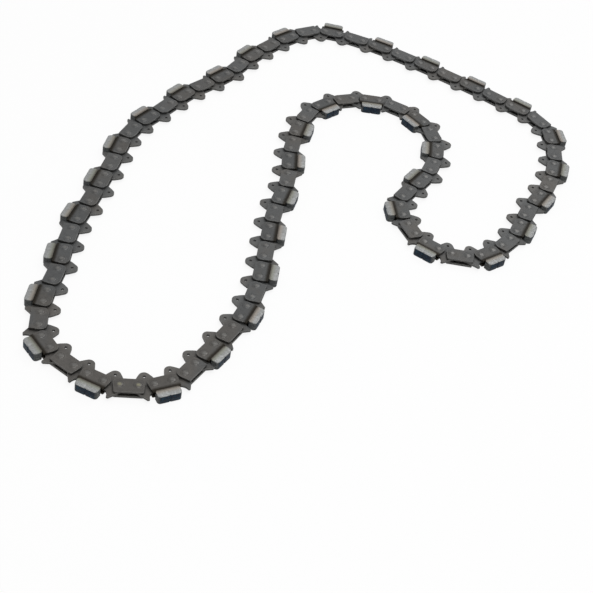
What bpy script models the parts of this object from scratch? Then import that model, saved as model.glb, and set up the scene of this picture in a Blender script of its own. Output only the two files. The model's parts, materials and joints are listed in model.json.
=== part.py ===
"""Diamond saw chain for cutting concrete, closed to a loop and laid on a flat floor.

Metres, +Z up. The chain lies on its side, so every rivet stands upright, the driving tangs
point into the loop and the diamond segments point out of it. The floor is z = 0, and the
origin is under the middle of the loop.

Four drive links and the four strap pairs between them, in the bend of the loop, are made
piece by piece. The rest of the chain is made as short runs: a run is one repeat of the chain,
with its straps, rivets, segment and drive links joined as one stiff body. The chain hangs
from one held run in both directions, and its two ends meet at an open pivot in the bend.
Every link and run has its origin on the rivet that it turns on.
"""
import bpy
import bmesh
from math import atan2, cos, hypot, pi, radians, sin
from mathutils import Vector

MM = 0.001

# Chain, in millimetres
REPEATS = 37               # one repeat: drive link, plain straps, drive link, cutter straps
REPEAT_LINKS = 4
DRIVE_PITCH = 8.95         # rivet to rivet in a drive link
STRAP_PITCH = 10.1         # rivet to rivet in a strap
RUNNING_GAP = 0.3          # between pieces that turn on each other
SEATED_GAP = 0.1           # between pieces that are riveted or welded together

# Drive link: a flat stamping with a tang that runs in the bar groove
DRIVE_GAUGE = 1.6
DRIVE_END_RADIUS = 4.1     # round the rivets
TANG_HOLE_HEIGHT = 7.4     # from the rivet line
TANG_HOLE_RADIUS = 0.85
TANG_TIP_RADIUS = 3.0      # round the hole
TANG_FLANK_DRAW = 4.5      # how hollow its flanks are: from its middle to their control point
FIN_HEIGHT = 8.1           # bumper fin, from the rivet line
FIN_TIP_WIDTH = 1.3
FIN_STEEP_DRAW = 0.6       # the same for the fin's flank beside the segment
FIN_LONG_DRAW = 3.4        # and for its other flank, over the plain straps

# Tie strap: an upper and a lower plate hold two drive links
STRAP_GAUGE = 1.3
STRAP_OUTER = 5.5          # outer edge, from the rivet line
STRAP_INNER = 4.5          # inner edge, from the rivet line
STRAP_END_GAP = 1.5        # between the ends of two straps on a straight chain
STRAP_CORNER_RADIUS = 3.6  # inner corners, which turn past each other in a bend
REVERSE_BEND_DEG = 14.0    # bend away from the tangs at which the outer corners would meet

# Rivet: a hub through each strap, a thicker bearing in the drive link and two domed heads
RIVET_HUB_RADIUS = 1.4
RIVET_BEARING_RADIUS = 1.9
RIVET_HEAD_RADIUS = 2.1
RIVET_CROWN_RADIUS = 1.3   # flat top of the dome
RIVET_HEAD_HEIGHT = 0.35

# Diamond segment, on the outer edges of a strap pair
SEGMENT_LENGTH = 13.9
SEGMENT_DEPTH = 5.3        # from the straps' edge to the cutting face
SEGMENT_WIDTH = 5.8        # the kerf, and so the height that the chain lies on
SEGMENT_CORNER = 1.5       # chamfer at both ends of the cutting face
SEGMENT_HEEL = 1.3         # chamfer at both ends of the welded side, past the fins
SEGMENT_EDGE = 0.6         # chamfer along the cutting face
WELD_DEPTH = 0.4           # how far a segment reaches into the straps of a run

# Facets
FINE_SIDES = 10            # round holes and rivets of the pieces made one by one
RUN_SIDES = 6              # hinge pins and holes of the runs
RUN_RIVET_SIDES = 4        # the rivets hidden between the plates of a run

# Lay of the closed chain on the floor, in millimetres: the rivet line passes through these
# points, which were read off the photographed chain. The first lies in the middle of a cutter
# strap at the left end of the near bend, and the order is counter-clockwise from above.
LAY = (
    (-131, -80), (-92, -101), (-58, -91), (-43, -63), (-30, -33),
    (-24, -1), (-24, 35), (-24, 70), (-20, 105), (-22, 142),
    (-16, 183), (6, 208), (36, 214), (63, 200), (76, 171),
    (70, 136), (55, 103), (72, 68), (104, 62), (128, 88),
    (139, 122), (153, 155), (157, 192), (148, 225), (117, 245),
    (85, 261), (51, 276), (17, 288), (-20, 292), (-45, 270),
    (-63, 242), (-77, 212), (-97, 185), (-113, 155), (-127, 126),
    (-131, 91), (-135, 54), (-140, 18), (-139, -16), (-140, -51),
)
LAY_STEPS = 24             # straight steps between two points of the lay

# Which links are made piece by piece: link 0 is the drive link after the first lay point
FIRST_FINE_LINK = 1
FINE_LINKS = 8
SPLIT_RUNS = (1, 34, 35)   # runs next to them that are made in two halves
HELD_RUN = "run_29"        # run that stays where it is: the rest hangs from both its ends

LINKS = REPEAT_LINKS * REPEATS
MIDDLE_HEIGHT = SEGMENT_WIDTH / 2
DRIVE_LOW = MIDDLE_HEIGHT - DRIVE_GAUGE / 2
DRIVE_HIGH = MIDDLE_HEIGHT + DRIVE_GAUGE / 2
UPPER_LOW = DRIVE_HIGH + RUNNING_GAP
UPPER_HIGH = UPPER_LOW + STRAP_GAUGE
LOWER_HIGH = DRIVE_LOW - RUNNING_GAP
LOWER_LOW = LOWER_HIGH - STRAP_GAUGE
DRIVE_HOLE_RADIUS = RIVET_BEARING_RADIUS + RUNNING_GAP
STRAP_HOLE_RADIUS = RIVET_HUB_RADIUS + SEATED_GAP


def clear_scene():
    """Remove what a new file holds."""
    for obj in list(bpy.data.objects):
        bpy.data.objects.remove(obj, do_unlink=True)


def steel(name, colour, roughness, metallic):
    """Make a plain metal for one kind of piece."""
    material = bpy.data.materials.new(name)
    material.use_nodes = True
    shader = material.node_tree.nodes["Principled BSDF"]
    shader.inputs["Base Color"].default_value = (*colour, 1.0)
    shader.inputs["Roughness"].default_value = roughness
    shader.inputs["Metallic"].default_value = metallic
    return material


def arc(centre, radius, start, end, steps):
    """Points on an arc, from the start angle to the end angle in degrees."""
    angles = [radians(start + (end - start) * k / steps) for k in range(steps + 1)]
    return [(centre[0] + radius * cos(a), centre[1] + radius * sin(a)) for a in angles]


def flank(start, control, end, steps):
    """Points between two ends, on a hollow curve drawn towards the control point."""
    points = []
    for k in range(1, steps):
        t = k / steps
        weights = ((1 - t) ** 2, 2 * t * (1 - t), t ** 2)
        points.append(tuple(
            sum(w * p[axis] for w, p in zip(weights, (start, control, end)))
            for axis in (0, 1)
        ))
    return points


def mirrored(points, about):
    """The same points mirrored across x = about, in reverse, to close a symmetric outline."""
    return [(2 * about - x, y) for x, y in reversed(points)]


def round_hole(centre, radius, sides):
    """A polygon drawn round a circle, so that a pin of that radius never touches it."""
    return arc(centre, radius / cos(pi / sides), 0, 360 - 360 / sides, sides - 1)


def pin(centre, radius, sides):
    """A polygon drawn inside a circle."""
    return arc(centre, radius, 0, 360 - 360 / sides, sides - 1)


def drive_outline(steps, segment_ahead):
    """Outline of a drive link. Its rivets are at x = 0 and x = DRIVE_PITCH, the tang is +y.

    Its fin is steep towards the segment, at +x when that is ahead, and long the other way.
    """
    middle = DRIVE_PITCH / 2
    end = arc((DRIVE_PITCH, 0), DRIVE_END_RADIUS, -80, 75, 2 * steps)
    tang = arc((middle, TANG_HOLE_HEIGHT), TANG_TIP_RADIUS, 30, 90, steps)
    shoulder = (middle + TANG_FLANK_DRAW, STRAP_INNER + RUNNING_GAP)
    tip = (middle + FIN_TIP_WIDTH / 2, -FIN_HEIGHT)
    halves = []
    for draw in (FIN_STEEP_DRAW, FIN_LONG_DRAW):
        control = (middle + draw, -DRIVE_END_RADIUS - RUNNING_GAP)
        half = [tip] + flank(tip, control, end[0], steps + 1) + end
        halves.append(half + flank(end[-1], shoulder, tang[0], steps) + tang)
    ahead, behind = halves if segment_ahead else reversed(halves)
    return ahead + mirrored(behind, middle)[1:]


def strap_outline(steps):
    """Outline of a strap. Its rivets are at x = 0 and x = STRAP_PITCH, the segment side is -y."""
    bend = radians(REVERSE_BEND_DEG)
    reach = (DRIVE_PITCH - RUNNING_GAP) / 2
    outer_end = STRAP_PITCH + (reach - STRAP_OUTER * sin(bend)) / cos(bend)
    inner_end = STRAP_PITCH + (DRIVE_PITCH - STRAP_END_GAP) / 2
    corner = (inner_end - STRAP_CORNER_RADIUS, STRAP_INNER - STRAP_CORNER_RADIUS)
    side = [(outer_end, -STRAP_OUTER)] + arc(corner, STRAP_CORNER_RADIUS, 0, 90, steps)
    return side + mirrored(side, STRAP_PITCH / 2)


def segment_outline(inner):
    """Outline of a diamond segment seen from above, in its strap's frame."""
    middle = STRAP_PITCH / 2
    face = -STRAP_OUTER - SEGMENT_DEPTH
    end = middle + SEGMENT_LENGTH / 2
    side = [
        (end - SEGMENT_CORNER, face), (end, face + SEGMENT_CORNER),
        (end, inner - SEGMENT_HEEL), (end - SEGMENT_HEEL, inner),
    ]
    return side + mirrored(side, middle)


def plate(bm, outline, holes, low, high):
    """Fill an outline, less its holes, and extrude it from one height to another."""
    edges = []
    for loop in (outline, *holes):
        corners = [bm.verts.new((x * MM, y * MM, low * MM)) for x, y in loop]
        edges += [bm.edges.new((corners[k - 1], corners[k])) for k in range(len(corners))]
    filled = bmesh.ops.triangle_fill(bm, use_beauty=True, edges=edges)["geom"]
    faces = [part for part in filled if isinstance(part, bmesh.types.BMFace)]
    if not holes:
        faces = bmesh.ops.dissolve_faces(bm, faces=faces)["region"]
    lifted = bmesh.ops.extrude_face_region(bm, geom=faces, use_keep_orig=True)["geom"]
    top = [part for part in lifted if isinstance(part, bmesh.types.BMVert)]
    bmesh.ops.translate(bm, verts=top, vec=(0, 0, (high - low) * MM))


def finish_mesh(bm, name, smooth_angle=0):
    """Turn a bmesh into a mesh whose faces point out."""
    bmesh.ops.recalc_face_normals(bm, faces=bm.faces)
    mesh = bpy.data.meshes.new(name)
    bm.to_mesh(mesh)
    bm.free()
    if smooth_angle:
        mesh.shade_smooth()
        mesh.set_sharp_from_angle(angle=radians(smooth_angle))
    return mesh


def drive_link_mesh(segment_ahead):
    """One drive link, with both rivet holes and the small hole in the tang."""
    bm = bmesh.new()
    holes = [round_hole((x, 0), DRIVE_HOLE_RADIUS, FINE_SIDES) for x in (0, DRIVE_PITCH)]
    tang_hole = (DRIVE_PITCH / 2, TANG_HOLE_HEIGHT)
    holes.append(round_hole(tang_hole, TANG_HOLE_RADIUS, FINE_SIDES - 2))
    plate(bm, drive_outline(3, segment_ahead), holes, DRIVE_LOW, DRIVE_HIGH)
    return finish_mesh(bm, "drive_link")


def strap_mesh(low, high, name):
    """One strap plate with its two rivet holes."""
    bm = bmesh.new()
    holes = [round_hole((x, 0), STRAP_HOLE_RADIUS, FINE_SIDES) for x in (0, STRAP_PITCH)]
    plate(bm, strap_outline(4), holes, low, high)
    return finish_mesh(bm, name)


def rivet_mesh():
    """One rivet, turned about z: half of the profile, mirrored to the other end and spun."""
    head_low = UPPER_HIGH + SEATED_GAP
    half = [
        (RIVET_BEARING_RADIUS, UPPER_LOW - SEATED_GAP),
        (RIVET_HUB_RADIUS, UPPER_LOW - SEATED_GAP),
        (RIVET_HUB_RADIUS, head_low),
        (RIVET_HEAD_RADIUS, head_low),
        (RIVET_CROWN_RADIUS, head_low + RIVET_HEAD_HEIGHT),
        (0.0, head_low + RIVET_HEAD_HEIGHT),
    ]
    profile = [(r, 2 * MIDDLE_HEIGHT - z) for r, z in reversed(half)] + half
    bm = bmesh.new()
    corners = [bm.verts.new((r * MM, 0, z * MM)) for r, z in profile]
    edges = [bm.edges.new(pair) for pair in zip(corners, corners[1:])]
    bmesh.ops.spin(
        bm, geom=corners + edges, cent=(0, 0, 0), axis=(0, 0, 1), dvec=(0, 0, 0),
        angle=2 * pi, steps=FINE_SIDES, use_merge=True, use_duplicate=False,
    )
    bmesh.ops.remove_doubles(bm, verts=bm.verts, dist=0.00001)
    return finish_mesh(bm, "rivet", smooth_angle=40)


def segment_mesh():
    """One sintered diamond segment, chamfered along both long edges of its cutting face."""
    bm = bmesh.new()
    plate(bm, segment_outline(-STRAP_OUTER - SEATED_GAP), (), 0, SEGMENT_WIDTH)
    face = (-STRAP_OUTER - SEGMENT_DEPTH + SEGMENT_CORNER + SEATED_GAP) * MM
    rims = [
        edge for edge in bm.edges
        if all(v.co.y < face for v in edge.verts)
        and abs(edge.verts[0].co.z - edge.verts[1].co.z) < SEATED_GAP * MM
        and len(edge.link_faces) == 2 and edge.calc_face_angle(0) > 1
    ]
    bmesh.ops.bevel(bm, geom=rims, offset=SEGMENT_EDGE * MM, segments=1, affect="EDGES")
    return finish_mesh(bm, "segment")


def route():
    """Closed smooth curve through the points of the lay, as many short steps."""
    points = []
    for k in range(len(LAY)):
        before, here, after, last = (
            Vector(LAY[(k + shift) % len(LAY)]) for shift in (-1, 0, 1, 2)
        )
        for step in range(LAY_STEPS):
            t = step / LAY_STEPS
            points.append(
                here
                + 0.5 * t * (after - before)
                + 0.5 * t ** 2 * (2 * before - 5 * here + 4 * after - last)
                + 0.5 * t ** 3 * (3 * here - before - 3 * after + last)
            )
    return points


def next_rivet(curve, place, index, pitch):
    """First point of the curve that is one pitch away, and the step that it lies in."""
    while (curve[(index + 1) % len(curve)] - place).length < pitch:
        index += 1
    start = curve[index % len(curve)]
    step = curve[(index + 1) % len(curve)] - start
    offset = start - place
    a = step.dot(step)
    b = offset.dot(step)
    c = offset.dot(offset) - pitch ** 2
    share = ((b * b - a * c) ** 0.5 - b) / a
    return start + share * step, index, share


def walk(curve):
    """Set out every rivet along the curve, from the middle of the first cutter strap.

    Returns the rivets and by how many steps the chain is longer than the curve.
    """
    pitches = [STRAP_PITCH / 2] + [DRIVE_PITCH, STRAP_PITCH] * (2 * REPEATS)
    pitches[-1] = STRAP_PITCH / 2
    place, index, rivets = curve[0], 0, []
    for pitch in pitches:
        place, index, share = next_rivet(curve, place, index, pitch)
        rivets.append(place)
    return rivets[:-1], index + share - len(curve)


def rivet_line():
    """Rivets of the closed chain: the lay is scaled until the last strap meets the first."""
    base = route()
    low, high = 0.7, 1.5
    for _ in range(48):
        scale = (low + high) / 2
        rivets, excess = walk([scale * point for point in base])
        if excess > 0:
            low = scale
        else:
            high = scale
    return rivets


def link_angle(rivets, link):
    """Direction of one link, from its first rivet to its second."""
    step = rivets[(link + 1) % LINKS] - rivets[link % LINKS]
    return atan2(step.y, step.x)


def is_drive(link):
    """Drive links are the even links, and straps the odd ones."""
    return link % 2 == 0


def is_cutter(link):
    """Every second strap pair carries a segment: the last link of a repeat."""
    return link % REPEAT_LINKS == REPEAT_LINKS - 1


def placed(points, origin, angle):
    """Points of a link's own frame, turned and moved to where the link lies."""
    return [
        (origin[0] + x * cos(angle) - y * sin(angle), origin[1] + x * sin(angle) + y * cos(angle))
        for x, y in points
    ]


def link_outlines(link):
    """Outer shapes of a link, seen from above, in its own frame."""
    if is_drive(link):
        return [drive_outline(1, is_cutter(link + 1))]
    if is_cutter(link):
        return [strap_outline(1), segment_outline(-STRAP_OUTER)]
    return [strap_outline(1)]


def centred(rivets):
    """Move the rivets so that the origin lies under the middle of the whole chain."""
    spread = []
    for link in range(LINKS):
        for outline in link_outlines(link):
            spread += placed(outline, rivets[link], link_angle(rivets, link))
    middle = Vector([
        (min(p[axis] for p in spread) + max(p[axis] for p in spread)) / 2 for axis in (0, 1)
    ])
    return [rivet - middle for rivet in rivets]


def add_object(name, mesh, material, parent=None, offset=0.0):
    """Add a piece, on its body's empty where it has one, moved along the link by the offset."""
    if not mesh.materials:
        mesh.materials.append(material)
    obj = bpy.data.objects.new(name, mesh)
    bpy.context.scene.collection.objects.link(obj)
    obj.parent = parent
    obj.location = (offset * MM, 0, 0)
    return obj


def add_body(name, rivets, link):
    """An empty on a link's first rivet, turned to lie along the link."""
    empty = bpy.data.objects.new(name, None)
    bpy.context.scene.collection.objects.link(empty)
    rivet = rivets[link % LINKS]
    empty.location = (rivet.x * MM, rivet.y * MM, 0)
    empty.rotation_euler = (0, 0, link_angle(rivets, link))
    return empty


def add_fine_links(rivets, materials):
    """The stretch that is made piece by piece: every plate, rivet and segment by itself."""
    drives = {ahead: drive_link_mesh(ahead) for ahead in (True, False)}
    upper = strap_mesh(UPPER_LOW, UPPER_HIGH, "upper_strap")
    lower = strap_mesh(LOWER_LOW, LOWER_HIGH, "lower_strap")
    rivet = rivet_mesh()
    segment = segment_mesh()
    counts = {"drive": 0, "plain": 0, "cutter": 0}
    for link in range(FIRST_FINE_LINK, FIRST_FINE_LINK + FINE_LINKS):
        kind = "drive" if is_drive(link) else "cutter" if is_cutter(link) else "plain"
        counts[kind] += 1
        tag = f"{kind}_{counts[kind]}"
        body = add_body(f"{tag}_body", rivets, link)
        if kind == "drive":
            drive = drives[is_cutter(link + 1)]
            add_object(f"drive_link_{counts[kind]}", drive, materials["drive"], body)
            continue
        add_object(f"{tag}_upper_strap", upper, materials["strap"], body)
        add_object(f"{tag}_lower_strap", lower, materials["strap"], body)
        add_object(f"{tag}_first_rivet", rivet, materials["rivet"], body)
        add_object(f"{tag}_second_rivet", rivet, materials["rivet"], body, STRAP_PITCH)
        if kind == "cutter":
            add_object(f"{tag}_segment", segment, materials["segment"], body)


def run_layout(rivets, first, last, axis):
    """Each link of a run with its place and direction, in a frame with its origin on an axis."""
    angle = link_angle(rivets, first)
    layout = []
    for link in range(first, last + 1):
        step = rivets[link % LINKS] - rivets[axis % LINKS]
        along = step.x * cos(angle) + step.y * sin(angle)
        across = step.y * cos(angle) - step.x * sin(angle)
        layout.append((link, (along, across), link_angle(rivets, link) - angle))
    return layout


def run_plates(name, layout):
    """The loose plates of a run: straps, and drive links of which the last keeps a free hole."""
    bm = bmesh.new()
    last = layout[-1][0]
    for link, origin, angle in layout:
        if is_drive(link):
            hole = round_hole((DRIVE_PITCH, 0), DRIVE_HOLE_RADIUS, RUN_SIDES)
            holes = [placed(hole, origin, angle)] if link == last else []
            outline = placed(drive_outline(1, is_cutter(link + 1)), origin, angle)
            plate(bm, outline, holes, DRIVE_LOW, DRIVE_HIGH)
            continue
        outline = placed(strap_outline(1), origin, angle)
        plate(bm, outline, (), LOWER_LOW, LOWER_HIGH)
        plate(bm, outline, (), UPPER_LOW, UPPER_HIGH)
    return finish_mesh(bm, f"{name}_plates")


def run_joiners(name, layout):
    """What joins the plates of a run: its hinge pin, its rivets and its segment."""
    bm = bmesh.new()
    low = LOWER_HIGH - STRAP_GAUGE / 2
    high = UPPER_LOW + STRAP_GAUGE / 2
    first = layout[0][0]
    for link, origin, angle in layout:
        sides = RUN_SIDES if link == first else RUN_RIVET_SIDES
        plate(bm, pin(origin, RIVET_BEARING_RADIUS, sides), (), low, high)
        if is_cutter(link):
            outline = placed(segment_outline(-STRAP_OUTER + WELD_DEPTH), origin, angle)
            plate(bm, outline, (), 0, SEGMENT_WIDTH)
    return finish_mesh(bm, f"{name}_joiners")


def add_run(name, rivets, first, last, axis, material):
    """One run of fused links, turning on the axis rivet."""
    layout = run_layout(rivets, first, last, axis)
    run = add_object(name, run_plates(name, layout), material)
    rivet = rivets[axis % LINKS]
    run.location = (rivet.x * MM, rivet.y * MM, 0)
    run.rotation_euler = (0, 0, link_angle(rivets, first))
    joiners = add_object(f"{name}_joiners", run_joiners(name, layout), material, run)
    joiners.hide_render = True
    joiners.display_type = "WIRE"
    union = run.modifiers.new("riveted", "BOOLEAN")
    union.operation = "UNION"
    union.solver = "EXACT"
    union.object = joiners


def add_runs(rivets, material):
    """The rest of the loop, one run for each repeat, with the split ones in two halves.

    A run before the held one turns on the pin of the run after it, and a run after the held
    one turns on its own pin, in the last hole of the run before it.
    """
    first = FIRST_FINE_LINK + FINE_LINKS
    for number in range(1, REPEATS - FINE_LINKS // REPEAT_LINKS + 1):
        halves = ("_plain", "_cutter") if number in SPLIT_RUNS else ("",)
        length = REPEAT_LINKS // len(halves)
        for half in halves:
            after = first + length
            name = f"run_{number:02d}{half}"
            axis = after if name < HELD_RUN else first
            add_run(name, rivets, first, after - 1, axis, material)
            first = after


def build():
    """Make the whole chain."""
    clear_scene()
    materials = {
        "drive": steel("drive_link_steel", (0.125, 0.12, 0.115), 0.45, 0.7),
        "strap": steel("strap_steel", (0.11, 0.105, 0.10), 0.45, 0.7),
        "rivet": steel("rivet_steel", (0.17, 0.16, 0.15), 0.4, 0.8),
        "segment": steel("segment_matrix", (0.42, 0.40, 0.37), 0.6, 0.5),
        "run": steel("run_steel", (0.115, 0.11, 0.105), 0.45, 0.7),
    }
    rivets = centred(rivet_line())
    add_fine_links(rivets, materials)
    add_runs(rivets, materials["run"])
    bpy.context.view_layer.update()


build()
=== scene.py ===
"""Diamond saw chain for cutting concrete, a closed loop lying on its side on a pale floor.

Every link of the chain is set out along the same lay as the CAD frame, and each piece rides on
the body that carries its link. Lengths are millimetres until a mesh or the camera takes them.
"""
import json
import bpy
import numpy as np
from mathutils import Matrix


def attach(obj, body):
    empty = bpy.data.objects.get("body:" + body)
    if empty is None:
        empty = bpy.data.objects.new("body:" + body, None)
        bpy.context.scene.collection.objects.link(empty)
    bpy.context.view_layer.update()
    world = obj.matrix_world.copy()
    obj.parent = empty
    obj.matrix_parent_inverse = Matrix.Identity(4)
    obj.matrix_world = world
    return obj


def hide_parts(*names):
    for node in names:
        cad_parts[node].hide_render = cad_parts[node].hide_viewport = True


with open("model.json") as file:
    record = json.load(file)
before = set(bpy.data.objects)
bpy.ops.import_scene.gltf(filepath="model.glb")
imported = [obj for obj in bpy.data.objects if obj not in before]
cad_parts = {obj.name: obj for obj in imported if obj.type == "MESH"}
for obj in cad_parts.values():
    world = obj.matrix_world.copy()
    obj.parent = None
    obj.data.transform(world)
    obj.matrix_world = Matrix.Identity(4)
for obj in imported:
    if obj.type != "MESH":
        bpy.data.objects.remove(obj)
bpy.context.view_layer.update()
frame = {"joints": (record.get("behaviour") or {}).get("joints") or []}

# The lay of the loop. The closed chain was laid on its side on a floor, so every rivet stands
# upright, the driving tangs point into the loop and the diamond segments point out of it.
MM = 0.001
REPEATS = 37
REPEAT_LINKS = 4           # drive link, plain straps, drive link, cutter straps
LINKS = REPEAT_LINKS * REPEATS
DRIVE_PITCH = 8.95         # rivet to rivet in a drive link
STRAP_PITCH = 10.1         # rivet to rivet in a strap
LAY_STEPS = 24             # straight steps between two points of the lay
LAY_SCALES = (0.7, 1.5)    # between which the scale that closes the loop is sought
LAY_HALVINGS = 48
LAY = np.array((
    (-131, -80), (-92, -101), (-58, -91), (-43, -63), (-30, -33),
    (-24, -1), (-24, 35), (-24, 70), (-20, 105), (-22, 142),
    (-16, 183), (6, 208), (36, 214), (63, 200), (76, 171),
    (70, 136), (55, 103), (72, 68), (104, 62), (128, 88),
    (139, 122), (153, 155), (157, 192), (148, 225), (117, 245),
    (85, 261), (51, 276), (17, 288), (-20, 292), (-45, 270),
    (-63, 242), (-77, 212), (-97, 185), (-113, 155), (-127, 126),
    (-131, 91), (-135, 54), (-140, 18), (-139, -16), (-140, -51),
), dtype=float)


def smooth_route(points, steps):
    """Closed curve through the points: between two of them, the cubic whose slope at each point
    is half the step from the point before it to the point after it."""
    before, after, last = (np.roll(points, shift, axis=0)[:, None] for shift in (1, -1, -2))
    here = points[:, None]
    t = (np.arange(steps) / steps)[None, :, None]
    return (
        here
        + 0.5 * t * (after - before)
        + 0.5 * t ** 2 * (2 * before - 5 * here + 4 * after - last)
        + 0.5 * t ** 3 * (3 * here - before - 3 * after + last)
    ).reshape(-1, 2)


def walk(curve):
    """Rivets along the curve, each one pitch from the last, and how far they overrun the curve.
    Each lies where the circle of one pitch round the last rivet cuts a step of the curve."""
    pitches = [STRAP_PITCH / 2] + [DRIVE_PITCH, STRAP_PITCH] * (2 * REPEATS)
    pitches[-1] = STRAP_PITCH / 2
    count = len(curve)
    place, index, found = curve[0], 0, []
    for pitch in pitches:
        while abs(curve[(index + 1) % count] - place) < pitch:
            index += 1
        start = curve[index % count]
        step = curve[(index + 1) % count] - start
        offset = start - place
        a = abs(step) ** 2
        b = (offset * step.conjugate()).real
        share = ((b * b - a * (abs(offset) ** 2 - pitch ** 2)) ** 0.5 - b) / a
        place = start + share * step
        found.append(place)
    return found[:-1], index + share - count


def rivet_places():
    """Every rivet of the closed chain: the lay is scaled until the last strap meets the first."""
    base = smooth_route(LAY, LAY_STEPS) @ np.array((1, 1j))
    low, high = LAY_SCALES
    for _ in range(LAY_HALVINGS):
        scale = (low + high) / 2
        found, excess = walk((scale * base).tolist())
        low, high = (scale, high) if excess > 0 else (low, scale)
    return np.array(found)


def cad_rivet(child):
    """Where the frame's hinge of that body stands, as x + iy."""
    x, y, _ = next(joint for joint in frame["joints"] if joint["child"] == child)["pos_m"]
    return complex(x, y) / MM


rivets = rivet_places()
lay_origin = cad_rivet("plain_1") - rivets[1]
rivets += lay_origin
headings = np.angle(np.roll(rivets, -1) - rivets)

# The stretches. Eight links in the near bend turn one by one, and the rest of the loop rides on
# stiff runs of four links, three of which are split in halves of two links.
FINE_BODIES = (
    "plain_1", "drive_link_1", "cutter_1", "drive_link_2",
    "plain_2", "drive_link_3", "cutter_2", "drive_link_4",
)
SPLIT_RUNS = (1, 34, 35)


def stretches():
    """(body, its links) round the loop: link k runs from rivet k to rivet k + 1."""
    found = [(body, (1 + k,)) for k, body in enumerate(FINE_BODIES)]
    first = 1 + len(FINE_BODIES)
    for number in range(1, REPEATS - len(FINE_BODIES) // REPEAT_LINKS + 1):
        body = f"run_{number:02d}"
        if number in SPLIT_RUNS:
            found.append((f"{body}_plain", (first, first + 1)))
            found.append((f"{body}_cutter", (first + 2, first + 3)))
        else:
            found.append((body, tuple(range(first, first + REPEAT_LINKS))))
        first += REPEAT_LINKS
    return found


def is_drive(link):
    """Drive links are the even links, and straps the odd ones."""
    return link % 2 == 0


def is_cutter(link):
    """Every second strap pair carries a segment: the last link of each repeat."""
    return link % REPEAT_LINKS == REPEAT_LINKS - 1


# The camera stands in front of the near bend and a little above it, rolled as the photographer
# held it, with a long lens. It aims at the point from which the lay was measured.
CAMERA_ELEVATION_DEG = 41.83
CAMERA_ROLL_DEG = 10.58
CAMERA_DISTANCE = 828.5
CAMERA_LENS = 84.74
CAMERA_SENSOR = 36         # width
CAMERA_CLIP = (0.01, 20)   # metres


def add_camera():
    """A camera at that elevation and distance from the origin of the lay, looking along +Y: it
    tilts about X from straight down, and rolls about its own line of sight."""
    data = bpy.data.cameras.new("camera")
    data.sensor_width = CAMERA_SENSOR
    data.lens = CAMERA_LENS
    data.clip_start, data.clip_end = CAMERA_CLIP
    camera = bpy.data.objects.new("camera", data)
    bpy.context.scene.collection.objects.link(camera)
    rise = np.radians(CAMERA_ELEVATION_DEG)
    camera.location = (
        lay_origin.real * MM,
        (lay_origin.imag - CAMERA_DISTANCE * np.cos(rise)) * MM,
        CAMERA_DISTANCE * np.sin(rise) * MM,
    )
    camera.rotation_mode = "QUATERNION"
    tilt = np.pi / 2 - rise
    roll = np.radians(CAMERA_ROLL_DEG)
    camera.rotation_quaternion = (
        np.cos(tilt / 2) * np.cos(roll / 2), np.sin(tilt / 2) * np.cos(roll / 2),
        -np.sin(tilt / 2) * np.sin(roll / 2), np.cos(tilt / 2) * np.sin(roll / 2),
    )
    bpy.context.scene.camera = camera


add_camera()

# Tie straps. An upper and a lower plate, stamped from 1.3 mm spring steel and left with its
# dark hardening oxide, hold two drive links between them on two rivets.
MIDDLE_HEIGHT = 2.9
DRIVE_GAUGE = 1.6
RUNNING_GAP = 0.3          # between plates that turn on each other
STRAP_GAUGE = 1.3
STRAP_OUTER = 5.5          # outer edge, from the rivet line
STRAP_INNER = 4.5          # inner edge, from the rivet line
STRAP_END_GAP = 1.5        # between the ends of two straps on a straight chain
STRAP_CORNER_RADIUS = 3.6  # inner corners
STRAP_CORNER_STEPS = 7
STRAP_TIP_RADIUS = 0.5     # outer corners
STRAP_TIP_END_DEG = -5     # where the outer corner runs into the tapered end
STRAP_TIP_STEPS = 3
REVERSE_BEND_DEG = 14.0    # bend at which the outer corners would meet
STAMPED_EDGE = 0.12        # rollover that stamping and tumbling leave round a plate
# rubbed wear and a painted highlight make a plate's rollovers lighter, and a painted highlight its
# side
EDGE_WEAR_AND_SHEEN = (1.0, 0.15, 1.0)   # of a plate's lower rollover, its side and its upper rollover
UPPER_LOW = MIDDLE_HEIGHT + DRIVE_GAUGE / 2 + RUNNING_GAP
UPPER_HIGH = UPPER_LOW + STRAP_GAUGE
LOWER_HIGH = MIDDLE_HEIGHT - DRIVE_GAUGE / 2 - RUNNING_GAP
LOWER_LOW = LOWER_HIGH - STRAP_GAUGE


def arc(centre, radius, start, end, steps):
    """Points at a radius round the centre, the angle going from start to end in degrees."""
    a = np.radians(np.linspace(start, end, steps + 1))
    return np.stack((centre[0] + radius * np.cos(a), centre[1] + radius * np.sin(a)), axis=1)


def mirrored(side, about):
    """The side's points mirrored across x = about, in reverse order."""
    return side[::-1] * (-1, 1) + (2 * about, 0)


def inset(outline, by):
    """The outline drawn in: each point moves along the mitre of its two edges' left normals."""
    ahead = np.roll(outline, -1, axis=0) - outline
    ahead /= np.linalg.norm(ahead, axis=1, keepdims=True)
    behind = np.roll(ahead, 1, axis=0)
    both = ahead + behind
    left = np.stack((-both[:, 1], both[:, 0]), axis=1)
    return outline + by * left / (1 + np.sum(ahead * behind, axis=1))[:, None]


def walls(rings, first=0):
    """Quads between stacked rings: point k of ring j, point k + 1, and the two above them."""
    index = first + np.arange(len(rings) * len(rings[0])).reshape(len(rings), -1)
    ahead = np.roll(index, -1, axis=1)
    return list(np.stack((index[:-1], ahead[:-1], ahead[1:], index[1:]), axis=-1).reshape(-1, 4))


def stacked(outlines, heights):
    """Rings of one point count: outline j lifted to height j."""
    return np.stack([
        np.column_stack((outline, np.full(len(outline), height)))
        for outline, height in zip(outlines, heights)
    ])


def rolled(outline, low, high):
    """An outline at four heights, the lowest and the highest drawn in by the rollover."""
    insets = (STAMPED_EDGE, 0, 0, STAMPED_EDGE)
    heights = (low, low + STAMPED_EDGE, high - STAMPED_EDGE, high)
    return stacked([inset(outline, by) for by in insets], heights)


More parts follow.
